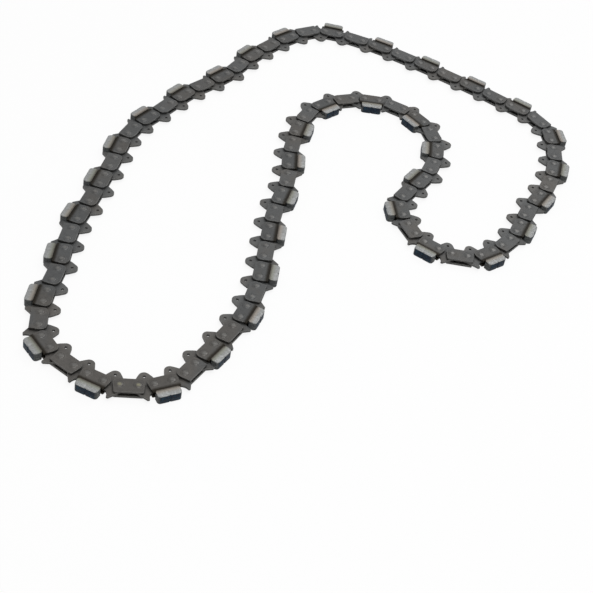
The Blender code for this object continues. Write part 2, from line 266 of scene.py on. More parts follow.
def stamped(outline, low, high):
    """A plate: its rolled outline, closed by a flat cap below and above. Returns its points, its
    faces and how much rubbed wear and painted highlight each face has."""
    rings = rolled(outline, low, high)
    count = len(outline)
    caps = [np.arange(count)[::-1], (len(rings) - 1) * count + np.arange(count)]
    wear_and_sheen = np.repeat((*EDGE_WEAR_AND_SHEEN, 0.0), (count, count, count, len(caps)))
    return rings.reshape(-1, 3), walls(rings) + caps, wear_and_sheen


def strap_outline():
    """Strap seen from above, rivets at x = 0 and x = STRAP_PITCH, segment side -y: straight
    edges, large round corners inside the loop and ends that taper to small corners outside."""
    bend = np.radians(REVERSE_BEND_DEG)
    reach = (DRIVE_PITCH - RUNNING_GAP) / 2
    outer_end = STRAP_PITCH + (reach - STRAP_OUTER * np.sin(bend)) / np.cos(bend)
    inner_end = STRAP_PITCH + (DRIVE_PITCH - STRAP_END_GAP) / 2
    tip = arc(
        (outer_end - STRAP_TIP_RADIUS, -STRAP_OUTER + STRAP_TIP_RADIUS), STRAP_TIP_RADIUS,
        -90, STRAP_TIP_END_DEG, STRAP_TIP_STEPS,
    )
    corner = arc(
        (inner_end - STRAP_CORNER_RADIUS, STRAP_INNER - STRAP_CORNER_RADIUS),
        STRAP_CORNER_RADIUS, 0, 90, STRAP_CORNER_STEPS,
    )
    side = np.concatenate((tip, corner))
    return np.concatenate((side, mirrored(side, STRAP_PITCH / 2)))


PLATE_CREASE_DEG = 30      # edges sharper than this stay sharp in a plate
TINT_STEP = 0.6180339      # from link to link: the golden ratio's fraction spreads the tints
TINT_SHIFT = 0.317         # for each millimetre along a link, so that its two rivets differ


def laid(name, shape, links, offsets=(0.0,), crease_deg=PLATE_CREASE_DEG):
    """One mesh of a shape's copies, one on each link and offset along it: the copy's points are
    turned by the link's heading and moved to its first rivet. It keeps each point's place in its
    link, a tint for each copy and each face's share of rubbed wear and painted highlight as
    attributes."""
    points, faces, wear_and_sheen = shape
    links = np.repeat(links, len(offsets))
    shift = np.tile(offsets, len(links) // len(offsets))
    copies = len(links)
    local = points[None] + np.stack((shift, 0 * shift, 0 * shift), axis=1)[:, None]
    flat = (local[..., 0] + 1j * local[..., 1]) * np.exp(1j * headings[links % LINKS])[:, None]
    flat += rivets[links % LINKS][:, None]
    spots = np.stack((flat.real, flat.imag, local[..., 2]), axis=-1).reshape(-1, 3) * MM
    corners = np.concatenate(faces)[None] + len(points) * np.arange(copies)[:, None]
    sizes = np.tile([len(face) for face in faces], copies)

    mesh = bpy.data.meshes.new(name)
    mesh.vertices.add(len(spots))
    mesh.vertices.foreach_set("co", spots.ravel())
    mesh.loops.add(corners.size)
    mesh.loops.foreach_set("vertex_index", corners.ravel())
    mesh.polygons.add(len(sizes))
    mesh.polygons.foreach_set("loop_start", np.cumsum(sizes) - sizes)
    mesh.polygons.foreach_set("use_smooth", np.ones(len(sizes), dtype=bool))
    mesh.update(calc_edges=True)
    mesh.set_sharp_from_angle(angle=np.radians(crease_deg))
    place = mesh.attributes.new("place", "FLOAT_VECTOR", "POINT")
    place.data.foreach_set("vector", local.ravel())
    tint = mesh.attributes.new("tint", "FLOAT", "POINT")
    shade = np.modf(links * TINT_STEP + shift * TINT_SHIFT)[0]
    tint.data.foreach_set("value", np.repeat(shade, len(points)))
    wear = mesh.attributes.new("wear_and_sheen", "FLOAT", "FACE")
    wear.data.foreach_set("value", np.tile(wear_and_sheen, copies))
    piece = bpy.data.objects.new(name, mesh)
    bpy.context.scene.collection.objects.link(piece)
    return piece


def dress(piece, material, slot, body, *nodes):
    """Paint a piece, let it ride on its body and stand for the body's CAD nodes."""
    piece.data.materials.append(material)
    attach(piece, body)
    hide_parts(*nodes)


BUMP_STRENGTH = 0.8


def add_node(tree, kind, inputs=(), **settings):
    """A shader node with its settings, its inputs linked to a socket or set to a value."""
    node = tree.nodes.new(kind)
    for key, value in settings.items():
        setattr(node, key, value)
    for key, value in dict(inputs).items():
        if isinstance(value, bpy.types.NodeSocket):
            tree.links.new(value, node.inputs[key])
        else:
            node.inputs[key].default_value = value
    return node


def math(tree, operation, *values):
    """A Math node's result."""
    return add_node(tree, "ShaderNodeMath", enumerate(values), operation=operation).outputs[0]


def blended(tree, share, first, second):
    """A colour between two, by a share from 0 to 1. A Mix node takes colours at sockets 6 and 7,
    and gives one at its output 2."""
    node = add_node(
        tree, "ShaderNodeMix", {0: share, 6: first, 7: second}, data_type="RGBA",
    )
    return node.outputs[2]


def ramp(tree, value, low, high, from_value=0.0, to_value=1.0):
    """A smooth step from one value to another while the input goes from low to high."""
    node = add_node(
        tree, "ShaderNodeMapRange",
        {0: value, 1: low, 2: high, 3: from_value, 4: to_value},
        interpolation_type="SMOOTHSTEP",
    )
    return node.outputs[0]


def attribute(tree, name):
    """The outputs of a mesh attribute's node."""
    return add_node(tree, "ShaderNodeAttribute", attribute_name=name).outputs


def noise(tree, vector, scale, detail):
    """A Noise texture's value, with its scale in waves for each unit of the vector."""
    return add_node(
        tree, "ShaderNodeTexNoise", {"Vector": vector, "Scale": scale, "Detail": detail},
    ).outputs["Fac"]


def new_material(name):
    """A material, its node tree and the inputs of its Principled BSDF."""
    material = bpy.data.materials.new(name)
    material.use_nodes = True
    tree = material.node_tree
    return material, tree, tree.nodes["Principled BSDF"].inputs


def finish(tree, surface, colour, roughness, height, depth):
    """Gives a surface its colour, its roughness and the bump of a height in depths of metres."""
    bump = add_node(
        tree, "ShaderNodeBump", {"Height": height, "Distance": depth, "Strength": BUMP_STRENGTH},
    )
    tree.links.new(colour, surface["Base Color"])
    tree.links.new(roughness, surface["Roughness"])
    tree.links.new(bump.outputs[0], surface["Normal"])


def new_group(name, inputs, outputs):
    """An empty shader group with (name, socket type, value) inputs and (name, type) outputs, and
    the sockets inside it that give the inputs and take the outputs."""
    tree = bpy.data.node_groups.new(name, "ShaderNodeTree")
    for label, kind, value in inputs:
        socket = tree.interface.new_socket(label, in_out="INPUT", socket_type=kind)
        socket.default_value = value
    for label, kind in outputs:
        tree.interface.new_socket(label, in_out="OUTPUT", socket_type=kind)
    inside, outside = (tree.nodes.new(f"NodeGroup{side}") for side in ("Input", "Output"))
    return tree, inside.outputs, outside.inputs


def use_group(tree, group, **inputs):
    """The outputs of the group placed in a material, with its inputs by name."""
    return add_node(tree, "ShaderNodeGroup", inputs, node_tree=group).outputs


CREVICE_REACH = 0.002      # metres, how far from a neighbour the painted shade of a crevice still darkens a plate
CREVICE_TONE = 0.05        # of the tone in the open
CREVICE_AIR = (0.2, 1.0)   # shares of open air between which the tone rises
OILED_FADE = (-0.2, -0.1)  # metres along the loop's length, over which the oily near bend ends
OILED_SHIFT = (0.15, -0.05)   # what that adds to the clouds, at either end of the fade
BROWN_CLOUDS = (0.38, 0.62)   # noise between which the colour turns from dark to brown
CLOUDS_PER_M = 45          # each some links long
PATCHES_PER_M = 420
GRAINS_PER_M = 2600
TONE_LEAST = 0.44          # of a piece's tone, to which its tint and the patches add
TONE_BY_TINT = 0.24
TONE_BY_PATCH = 0.8
RUBBED_PATCHES = (0.3, 0.65)   # noise between which the rubbed and lit edges turn from dull to bright
RUBBED_LEAST = 0.35
ROUGH_PATCHES = (0.25, 0.75)
OXIDE_ROUGHNESS = (0.42, 0.6)
GRAIN_SHARE = 0.6          # of the height, and the patches have the rest


def painted_crevice_shade(tree):
    """A share that is 1 in the open and falls to almost nothing in the crevices between plates,
    where shade falls: painted shade, from an ambient occlusion node."""
    open_air = add_node(
        tree, "ShaderNodeAmbientOcclusion", {"Distance": CREVICE_REACH},
    ).outputs["AO"]
    return ramp(tree, open_air, *CREVICE_AIR, CREVICE_TONE, 1.0)


def oxide_group():
    """Hardening oxide on steel: a dark colour, browner in soft clouds and in the oily near bend,
    each piece a little lighter or darker, with fine grain, edges lighter by rubbed wear and a
    painted highlight, and painted shade in the crevices."""
    tree, given, result = new_group(
        "oxide_film",
        (
            ("Dark", "NodeSocketColor", (0.1, 0.1, 0.1, 1)),
            ("Brown", "NodeSocketColor", (0.1, 0.09, 0.08, 1)),
            ("Rubbed", "NodeSocketColor", (0.2, 0.2, 0.2, 1)),
            ("Worn", "NodeSocketFloat", 0.0),
            ("Clean", "NodeSocketFloat", 1.0),
        ),
        (
            ("Color", "NodeSocketColor"),
            ("Roughness", "NodeSocketFloat"),
            ("Height", "NodeSocketFloat"),
        ),
    )
    spot = add_node(tree, "ShaderNodeTexCoord").outputs["Object"]
    clouds = noise(tree, spot, CLOUDS_PER_M, 3)
    patches = noise(tree, spot, PATCHES_PER_M, 4)
    grain = noise(tree, spot, GRAINS_PER_M, 2)

    along = add_node(tree, "ShaderNodeSeparateXYZ", {0: spot}).outputs["Y"]
    oiled = math(tree, "ADD", clouds, ramp(tree, along, *OILED_FADE, *OILED_SHIFT))
    film = blended(tree, ramp(tree, oiled, *BROWN_CLOUDS), given["Dark"], given["Brown"])
    tone = math(
        tree, "MULTIPLY_ADD", attribute(tree, "tint")["Fac"], TONE_BY_TINT, TONE_LEAST,
    )
    tone = math(tree, "MULTIPLY_ADD", patches, TONE_BY_PATCH, tone)
    # painted shade: the tone falls in the crevices between plates
    tone = math(tree, "MULTIPLY", tone, given["Clean"])
    toned = add_node(
        tree, "ShaderNodeVectorMath", {0: film, "Scale": tone}, operation="SCALE",
    ).outputs[0]
    bared = ramp(tree, patches, *RUBBED_PATCHES, RUBBED_LEAST, 1.0)
    # lighter edges: rubbed wear, and a painted highlight on the rollovers and sides
    rubbed_and_lit = math(tree, "MULTIPLY", given["Worn"], bared)
    tree.links.new(blended(tree, rubbed_and_lit, toned, given["Rubbed"]), result["Color"])

    tree.links.new(ramp(tree, patches, *ROUGH_PATCHES, *OXIDE_ROUGHNESS), result["Roughness"])
    rough = math(tree, "MULTIPLY", patches, 1 - GRAIN_SHARE)
    tree.links.new(math(tree, "MULTIPLY_ADD", grain, GRAIN_SHARE, rough), result["Height"])
    return tree


OXIDE = oxide_group()
OXIDE_DARK = (0.057, 0.059, 0.0595, 1)
OXIDE_BROWN = (0.0655, 0.0605, 0.0545, 1)
OXIDE_RUBBED_AND_SHEEN = (0.17, 0.168, 0.16, 1)
OXIDE_METALLIC = 0.3
GRAIN_DEPTH = 0.00003      # metres
HUB_RADIUS = 2.7           # pad pressed up round each rivet
HUB_SLOPE = 0.35           # either side of that radius
HUB_RISE = 9.0             # in grain depths
CREASE_RADIUS = 2.15       # ring of painted shade round the rivet's head
CREASE_INNER_FADE = 0.25   # over which it comes in
CREASE_OUTER_FADE = (0.1, 0.55)   # from its radius, where it fades out
# colour and share of the painted shade in that ring
CREASE_SHADE_COLOUR = (0.03, 0.028, 0.026, 1)
CREASE_SHADE_SHARE = 0.3
BURNT_FADE = (0.96, 3.12)  # from the outer edge, where the weld's dark brown band fades out
BURNT_RAGGEDNESS = 0.8     # by how much its edge wanders
BURNT_RAGS_PER_MM = 0.6
BURNT_COLOUR = (0.016, 0.013, 0.009, 1)
BURNT_SHARE = 0.9
HEATED_SPECULAR = 0.4      # of a strap that was welded
BURNT_SPECULAR = 0.05      # of the band along its weld


def oxide_steel(name):
    """A material for oxide steel, with the film that its finish starts from."""
    material, tree, surface = new_material(name)
    surface["Metallic"].default_value = OXIDE_METALLIC
    film = use_group(
        tree, OXIDE, Dark=OXIDE_DARK, Brown=OXIDE_BROWN, Rubbed=OXIDE_RUBBED_AND_SHEEN,
        Worn=attribute(tree, "wear_and_sheen")["Fac"], Clean=painted_crevice_shade(tree),
    )
    return material, tree, surface, film


def rivet_distance(tree, place):
    """Distance in a strap's plane from a place to its nearer rivet, which lies at the origin
    once the place is folded about the strap's middle."""
    half = STRAP_PITCH / 2
    axes = add_node(tree, "ShaderNodeSeparateXYZ", {0: place}).outputs
    folded = math(tree, "ABSOLUTE", math(tree, "SUBTRACT", axes["X"], half))
    along = math(tree, "SUBTRACT", folded, half)
    square = math(tree, "MULTIPLY_ADD", along, along, math(tree, "POWER", axes["Y"], 2))
    return math(tree, "SQRT", square)


def burnt_band(tree, place):
    """A share that is 1 along a strap's outer edge and falls to 0 inward, with a ragged edge."""
    across = add_node(tree, "ShaderNodeSeparateXYZ", {0: place}).outputs["Y"]
    ragged = math(tree, "SUBTRACT", noise(tree, place, BURNT_RAGS_PER_MM, 2), 0.5)
    reach = math(tree, "MULTIPLY_ADD", ragged, BURNT_RAGGEDNESS, across)
    return ramp(tree, reach, *(fade - STRAP_OUTER for fade in BURNT_FADE), 1.0, 0.0)


def strap_material(name, heated):
    """Oxide steel with painted shade in a crease and a faint pad round each rivet. The straps of a
    segment also have a burnt brown band along the weld."""
    material, tree, surface, film = oxide_steel(name)
    place = attribute(tree, "place")["Vector"]
    distance = rivet_distance(tree, place)
    crease_shade = math(
        tree, "MULTIPLY",
        ramp(tree, distance, CREASE_RADIUS - CREASE_INNER_FADE, CREASE_RADIUS),
        ramp(tree, distance, *(CREASE_RADIUS + fade for fade in CREASE_OUTER_FADE), 1.0, 0.0),
    )
    # painted shade in a ring round each rivet's head
    colour = blended(
        tree, math(tree, "MULTIPLY", crease_shade, CREASE_SHADE_SHARE), film["Color"], CREASE_SHADE_COLOUR,
    )
    if heated:
        burnt = burnt_band(tree, place)
        colour = blended(
            tree, math(tree, "MULTIPLY", burnt, BURNT_SHARE), colour, BURNT_COLOUR,
        )
        dulled = math(
            tree, "MULTIPLY_ADD", burnt, BURNT_SPECULAR - HEATED_SPECULAR, HEATED_SPECULAR,
        )
        tree.links.new(dulled, surface["Specular IOR Level"])
    pad = ramp(tree, distance, HUB_RADIUS - HUB_SLOPE, HUB_RADIUS + HUB_SLOPE, 1.0, 0.0)
    height = math(tree, "MULTIPLY_ADD", pad, HUB_RISE, film["Height"])
    finish(tree, surface, colour, film["Roughness"], height, GRAIN_DEPTH)
    return material


def add_straps():
    """The upper and lower plates of every strap pair."""
    outline = strap_outline()
    plates = {
        "upper": stamped(outline, UPPER_LOW, UPPER_HIGH),
        "lower": stamped(outline, LOWER_LOW, LOWER_HIGH),
    }
    steels = {
        kind: strap_material(f"{kind}_strap_steel", kind == "cutter")
        for kind in ("plain", "cutter")
    }
    for body, links in stretches():
        for kind, steel in steels.items():
            mine = [k for k in links if not is_drive(k) and is_cutter(k) == (kind == "cutter")]
            tag = f"{body}_{kind}" if len(links) == REPEAT_LINKS else body
            for level, plate in plates.items():
                if not mine:
                    continue
                piece = laid(f"{tag}_{level}_plate", plate, mine)
                if len(links) == 1:
                    dress(piece, steel, "strap_steel", body, f"{body}_{level}_strap")
                else:
                    dress(piece, steel, "run_steel", body, body)


add_straps()

# Drive links. A flat link stamped from 1.6 mm steel runs between two strap pairs. Its tang, with
# a small hole, rides in the bar's groove, and its fin on the other side guards the segments.
DRIVE_LOW = MIDDLE_HEIGHT - DRIVE_GAUGE / 2
DRIVE_HIGH = MIDDLE_HEIGHT + DRIVE_GAUGE / 2
DRIVE_END_RADIUS = 4.1
DRIVE_END_TOP_DEG = 75     # where the tang's flank leaves the round end
DRIVE_END_STEPS = 8
TANG_HOLE_HEIGHT = 7.4     # from the rivet line
TANG_HOLE_RADIUS = 0.85
TANG_HOLE_SIDES = 12
TANG_HOLE_WEAR = (0.3, 0.0, 0.3)   # of its lower rollover, its side and its upper rollover
TANG_TIP_RADIUS = 3.3
TANG_TIP_START_DEG = 35    # where the flank runs into the tip
TANG_TIP_STEPS = 6
TANG_FLANK_DRAW = 6.2      # from the link's middle to the flank's control point
TANG_FLANK_STEPS = 4
TANG_RUB = 0.18            # share of rubbed steel on the tang
TANG_RUB_FADE = 3.0        # over which it comes in, from the straps' edge
RIVET_HOLE_RADIUS = 2.0
RIVET_HOLE_SIDES = 12
FIN_HEIGHT = 9.5           # from the rivet line
FIN_TIP_RADIUS = 0.3
FIN_TIP_END_DEG = -20      # where the tip runs into the flank
FIN_TIP_STEPS = 3
FIN_FLANK_STEPS = 6
FIN_FLANKS = {
    # from the link's middle to the fin's side, the flank's control point from the middle and the
    # rivet line, and the angle at which the flank runs into the link's round end
    "steep": (0.35, (0.4, -4.4), -80),     # beside the segment
    "long": (1.1, (4.8, -5.3), -60),       # over the plain straps
}


def hollow(start, control, end, steps):
    """Points between two ends, on the quadratic curve drawn towards the control point."""
    t = (np.arange(1, steps) / steps)[:, None]
    return (1 - t) ** 2 * start + 2 * t * (1 - t) * control + t ** 2 * end


def drive_side(fin_edge, fin_draw, end_angle):
    """Right-hand half of a drive link seen from above, from the fin's foot to the tang's top:
    hollow flanks run from the fin and from the tang into the round end."""
    middle = DRIVE_PITCH / 2
    end = arc(
        (DRIVE_PITCH, 0), DRIVE_END_RADIUS, end_angle, DRIVE_END_TOP_DEG, DRIVE_END_STEPS,
    )
    tang = arc(
        (middle, TANG_HOLE_HEIGHT), TANG_TIP_RADIUS, TANG_TIP_START_DEG, 90, TANG_TIP_STEPS,
    )[:-1]
    shoulder = np.array((middle + TANG_FLANK_DRAW, STRAP_INNER + RUNNING_GAP))
    centre = (middle + fin_edge - FIN_TIP_RADIUS, -FIN_HEIGHT + FIN_TIP_RADIUS)
    tip = arc(centre, FIN_TIP_RADIUS, -90, FIN_TIP_END_DEG, FIN_TIP_STEPS)
    fin_draw = np.array(fin_draw) + (middle, 0)
    return np.concatenate((
        tip, hollow(tip[-1], fin_draw, end[0], FIN_FLANK_STEPS), end,
        hollow(end[-1], shoulder, tang[0], TANG_FLANK_STEPS), tang,
    ))


def drilled(outline, top, hole, low, high):
    """A stamped plate with the tang's hole, whose top lies under the outline's point top, and two
    rivet holes. Each flat cap is in four pieces, which meet on the line up the middle, through
    the tang's hole, and on the line through both rivets."""
    points, faces, wear_and_sheen = stamped(outline, low, high)
    last_ring = len(points) - len(outline)
    bores = [rolled(hole, low, high)]
    for x in (0, DRIVE_PITCH):
        circle = arc((x, 0), RIVET_HOLE_RADIUS, 180, -180, RIVET_HOLE_SIDES)[:-1]
        bores.append(stacked((circle, circle), (low, high)))
    faces, wear_and_sheen = faces[:-2], wear_and_sheen[:-2]
    rims = []                  # of each bore: its points at the bottom and at the top
    for bore in bores:
        first = len(points)
        points = np.concatenate((points, bore.reshape(-1, 3)))
        faces += walls(bore, first)
        ring = first + np.append(np.arange(bore.shape[1]), 0)
        rims.append((ring, ring + (len(bore) - 1) * bore.shape[1]))
    middle = len(points)
    points = np.concatenate((points, [(DRIVE_PITCH / 2, 0, z) for z in (low, high)]))
    right, left = outline[:, 0].argmax(), outline[:, 0].argmin()
    half, turned = len(hole) // 2, RIVET_HOLE_SIDES // 2
    for upper, turn in ((0, -1), (1, 1)):
        edge = upper * last_ring + np.append(np.arange(len(outline)), 0)
        tang, behind, ahead = (rim[upper] for rim in rims)
        centre = [middle + upper]
        for loop in (
            (edge[right:top + 1], tang[:half + 1], centre, ahead[:turned + 1]),
            (edge[:right + 1], ahead[turned:], centre),
            (edge[top:left + 1], behind[:turned + 1], centre, tang[half:]),
            (edge[left:], centre, behind[turned:]),
        ):
            faces.append(np.concatenate(loop)[::turn])
    wear_and_sheen = np.append(wear_and_sheen, np.repeat(TANG_HOLE_WEAR, len(hole)))
    return points, faces, np.append(wear_and_sheen, np.zeros(len(faces) - len(wear_and_sheen)))


def drive_link_shape(segment_ahead):
    """A whole drive link: the half outline ahead, the tang's top, the mirrored half behind, and
    the hole, which goes round clockwise from its top."""
    middle = DRIVE_PITCH / 2
    flanks = ("steep", "long") if segment_ahead else ("long", "steep")
    ahead, behind = (drive_side(*FIN_FLANKS[flank]) for flank in flanks)
    foot = np.array(((middle, -FIN_HEIGHT),))
    crown = np.array(((middle, TANG_HOLE_HEIGHT + TANG_TIP_RADIUS),))
    outline = np.concatenate((foot, ahead, crown, mirrored(behind, middle)))
    hole = arc(
        (middle, TANG_HOLE_HEIGHT), TANG_HOLE_RADIUS, 90, -270, TANG_HOLE_SIDES,
    )[:-1]
    return drilled(outline, len(ahead) + 1, hole, DRIVE_LOW, DRIVE_HIGH)


def drive_material():
    """Oxide steel, rubbed a little lighter on the tang, where it runs in the bar's groove."""
    material, tree, surface, film = oxide_steel("drive_link_oxide_steel")
    place = attribute(tree, "place")["Vector"]
    across = add_node(tree, "ShaderNodeSeparateXYZ", {0: place}).outputs["Y"]
    tang = ramp(tree, across, STRAP_INNER, STRAP_INNER + TANG_RUB_FADE, 0.0, TANG_RUB)
    colour = blended(tree, tang, film["Color"], OXIDE_RUBBED_AND_SHEEN)
    finish(tree, surface, colour, film["Roughness"], film["Height"], GRAIN_DEPTH)
    return material


def add_drive_links():
    """Every drive link of the chain, its fin's steep side towards the segment."""
    shapes = {ahead: drive_link_shape(ahead) for ahead in (True, False)}
    steel = drive_material()
    for body, links in stretches():
        for link in filter(is_drive, links):
            shape = shapes[is_cutter(link + 1)]
            if len(links) == 1:
                dress(laid(f"{body}_plate", shape, (link,)), steel, "drive_link_steel", body, body)
            else:
                piece = laid(f"{body}_link_{link - links[0] + 1}_plate", shape, (link,))
                dress(piece, steel, "run_steel", body, body)


add_drive_links()

# Rivets. A stepped steel pin goes through an upper strap, a drive link and a lower strap, and
# both ends are spun over into shallow domed heads that stand a little proud of the straps.
RIVET_HEAD_RADIUS = 2.1
RIVET_HEAD_HEIGHT = 0.34
RIVET_DOME_DEG = (0, 25, 50, 72)   # where the head's circles lie, up from its edge
RIVET_NECK_RADIUS = 1.85
RIVET_SIDES = 14
RIVET_CREASE_DEG = 50      # edges sharper than this stay sharp
# colours of the painted highlight in the middle of a rivet's head, the second with the lubricant's
# brassy tint
RIVET_HIGHLIGHT_STEEL = (0.115, 0.112, 0.105, 1)
RIVET_BRASSY = (0.20, 0.19, 0.13, 1)
RIVET_HIGHLIGHT_RADII = (0.3, 1.7)   # radii between which the painted highlight in the middle fades out
RIVET_POLISH = 0.62        # of the film's roughness


def rivet_shape():
    """A rivet as circles stacked from head to head: each head's radius falls away as its height
    rises, r = R cos a and z = H sin a, down to a small flat crown."""
    a = np.radians(RIVET_DOME_DEG)
    radius = np.append(RIVET_NECK_RADIUS, RIVET_HEAD_RADIUS * np.cos(a))
    height = np.append(UPPER_LOW, UPPER_HIGH + RIVET_HEAD_HEIGHT * np.sin(a))
    radii = np.append(radius[::-1], radius)
    heights = np.append((2 * MIDDLE_HEIGHT - height)[::-1], height)
    turn = np.exp(2j * np.pi * np.arange(RIVET_SIDES) / RIVET_SIDES)
    circles = [np.stack((r * turn.real, r * turn.imag), axis=1) for r in radii]
    rings = stacked(circles, heights)
    ends = [
        np.arange(RIVET_SIDES)[::-1], (len(radii) - 1) * RIVET_SIDES + np.arange(RIVET_SIDES),
    ]
    faces = walls(rings) + ends
    return rings.reshape(-1, 3), faces, np.zeros(len(faces))


def rivet_material(name, bright):
    """The straps' oxide film, with a lighter painted highlight in the middle of the head."""
    material, tree, surface, film = oxide_steel(name)
    distance = rivet_distance(tree, attribute(tree, "place")["Vector"])
    # painted highlight: the middle of the head lighter
    colour = blended(tree, ramp(tree, distance, *RIVET_HIGHLIGHT_RADII, 1.0, 0.0), film["Color"], bright)
    roughness = math(tree, "MULTIPLY", film["Roughness"], RIVET_POLISH)
    finish(tree, surface, colour, roughness, film["Height"], GRAIN_DEPTH)
    return material


def add_rivets():
    """Two rivets in every strap pair. Those of one plain pair in the bend still have the brassy
    tint of the lubricant they were spun with."""
    shape = rivet_shape()
    steel = rivet_material("rivet_head_steel", RIVET_HIGHLIGHT_STEEL)
    brassy = rivet_material("rivet_head_brassy", RIVET_BRASSY)
    for body, links in stretches():
        mine = [k for k in links if not is_drive(k)]
        if mine and len(links) == 1:
            for side, offset in (("first", 0.0), ("second", STRAP_PITCH)):
                piece = laid(f"{body}_{side}_pin", shape, mine, (offset,), RIVET_CREASE_DEG)
                metal = brassy if body == "plain_2" else steel
                dress(piece, metal, "rivet_steel", body, f"{body}_{side}_rivet")
        elif mine:
            piece = laid(f"{body}_rivets", shape, mine, (0.0, STRAP_PITCH), RIVET_CREASE_DEG)
            dress(piece, steel, "run_steel", body, body)


add_rivets()

# Diamond segments. A block of metal powder and diamond grit, sintered under pressure and laser
# welded across the outer edges of both straps. Its cutting face is dark, and its sides ground.
SEGMENT_LENGTH = 13.9
SEGMENT_DEPTH = 5.3        # from the straps' edge to the cutting face
SEGMENT_WIDTH = 5.8
SEGMENT_CORNER = 1.7       # rounding at both ends of the cutting face
SEGMENT_HEEL = 0.8         # chamfer at both ends of the welded side
SEGMENT_EDGE = 0.4         # rounding along the cutting face
SEGMENT_EDGE_MIDDLE = 0.35 # share of it at which the rounding's middle line lies
SEGMENT_WELD = 0.02        # how far it stands off the straps' edges
GROOVE_WIDTH = 1.2         # step across the middle of the cutting face, where two halves meet
GROOVE_DEPTH = 0.3
SILVER_FADE = (0.6, 3.6)   # from the cutting face, where the silver gives way
SILVER_RAGGEDNESS = 1.6
WELD_FADE = (-1.0, 0.6)    # from the straps' edge, where the weld's brown comes in
WELD_RAGGEDNESS = 1.2
WELD_SHARE = 0.95
STAIN_SHARE = 0.35
END_SHARE = 0.9
GRIT_SHARE = 0.55
MOTTLES_PER_MM = 0.9
GRITS_PER_MM = 2.2
STREAKS_PER_MM = 1.4
STREAK_STRETCH = (3.0, 0.25, 3.0)   # the streaks run from the weld to the cutting face
MATRIX_ROUGHNESS = (0.42, 0.62)
MATRIX_METALLIC = 0.3      # of the flat sides
MATRIX_SPECULAR = (0.15, 0.25)   # of the dark edge, and what the flat sides add to it
FLAT_FADE = 0.05           # either side of the line where the flat side meets the rounding
MATRIX_TAN = (0.255, 0.225, 0.195, 1)
MATRIX_OLIVE = (0.20, 0.205, 0.17, 1)
MATRIX_GREY = (0.235, 0.24, 0.24, 1)
MATRIX_SILVER = (0.35, 0.357, 0.357, 1)
MATRIX_STAIN = (0.14, 0.138, 0.125, 1)
WELD_BROWN = (0.04, 0.03, 0.02, 1)
FACE_BLACK = (0.005, 0.009, 0.02, 1)
FACE_BLUE = (0.012, 0.042, 0.066, 1)
END_DARK = (0.025, 0.027, 0.029, 1)
END_GREY = (0.14, 0.145, 0.14, 1)
GRIT_COLOUR = (0.16, 0.17, 0.16, 1)
GRIT_DEPTH = 0.00006       # metres


def segment_outline(draw):
    """A segment seen from above, its cutting face drawn back by draw: round corners by the face,
    chamfers by the weld, and a shallow groove across the middle of the face."""
    middle = STRAP_PITCH / 2
    face = -STRAP_OUTER - SEGMENT_DEPTH + draw
    inner = -STRAP_OUTER - SEGMENT_WELD
    end = middle + SEGMENT_LENGTH / 2
    side = np.array((
        (middle + GROOVE_WIDTH / 4, face + GROOVE_DEPTH),
        (middle + GROOVE_WIDTH / 2, face),
        (end - SEGMENT_CORNER, face),
        (end - SEGMENT_CORNER / 2, face + SEGMENT_CORNER / 8),
        (end - SEGMENT_CORNER / 8, face + SEGMENT_CORNER / 2),
        (end, face + SEGMENT_CORNER),
        (end, inner - SEGMENT_HEEL),
        (end - SEGMENT_HEEL, inner),
    ))
    return np.concatenate((side, mirrored(side, middle)))


def segment_shape():
    """A segment: outlines stacked across its width, the outer ones drawn back at the face."""
    rises = (0, SEGMENT_EDGE * SEGMENT_EDGE_MIDDLE, SEGMENT_EDGE)
    draws = (*rises[::-1], *rises)
    heights = (*rises, *(SEGMENT_WIDTH - rise for rise in rises[::-1]))
    rings = stacked([segment_outline(draw) for draw in draws], heights)
    count = rings.shape[1]
    caps = [np.arange(count)[::-1], (len(draws) - 1) * count + np.arange(count)]
    faces = walls(rings) + caps
    return rings.reshape(-1, 3), faces, np.zeros(len(faces))


def matrix_top(tree, place, ground, mottle):
    """Colour of a segment's flat sides: tan or olive by the weld, which has browned their inner
    edge, ground silver along the outer edge, and stained in patches."""
    face = -STRAP_OUTER - SEGMENT_DEPTH
    across = add_node(tree, "ShaderNodeSeparateXYZ", {0: place}).outputs["Y"]
    tint = attribute(tree, "tint")["Fac"]
    warm = blended(tree, ramp(tree, tint, 0.2, 0.8), MATRIX_TAN, MATRIX_OLIVE)
    silver = blended(tree, ramp(tree, ground, 0.4, 0.6), MATRIX_GREY, MATRIX_SILVER)
    outward = math(tree, "MULTIPLY_ADD", ground, -SILVER_RAGGEDNESS, across)
    silvered = ramp(tree, outward, *(face + fade for fade in SILVER_FADE), 1.0, 0.0)
    inward = math(tree, "MULTIPLY_ADD", ground, WELD_RAGGEDNESS, across)
    browned = ramp(tree, inward, *(fade - STRAP_OUTER for fade in WELD_FADE), 0.0, WELD_SHARE)
    top = blended(tree, browned, blended(tree, silvered, warm, silver), WELD_BROWN)
    return blended(tree, ramp(tree, mottle, 0.35, 0.75, 0.0, STAIN_SHARE), top, MATRIX_STAIN)


def cutting_face(tree, place, ground, mottle, grit):
    """Colour of a segment's edge all round: nearly black with a blue cast, streaked grey at both
    ends, with grains of grit standing out of it."""
    along = add_node(tree, "ShaderNodeSeparateXYZ", {0: place}).outputs["X"]
    blue = blended(tree, ramp(tree, mottle, 0.48, 0.72), FACE_BLACK, FACE_BLUE)
    outer = math(tree, "ABSOLUTE", math(tree, "SUBTRACT", along, STRAP_PITCH / 2))
    end = SEGMENT_LENGTH / 2
    at_end = ramp(tree, outer, end - SEGMENT_CORNER, end - 0.1, 0.0, END_SHARE)
    streaked = blended(tree, ramp(tree, ground, 0.35, 0.65), END_DARK, END_GREY)
    colour = blended(tree, at_end, blue, streaked)
    return blended(tree, ramp(tree, grit, 0.12, 0.22, GRIT_SHARE, 0.0), colour, GRIT_COLOUR)


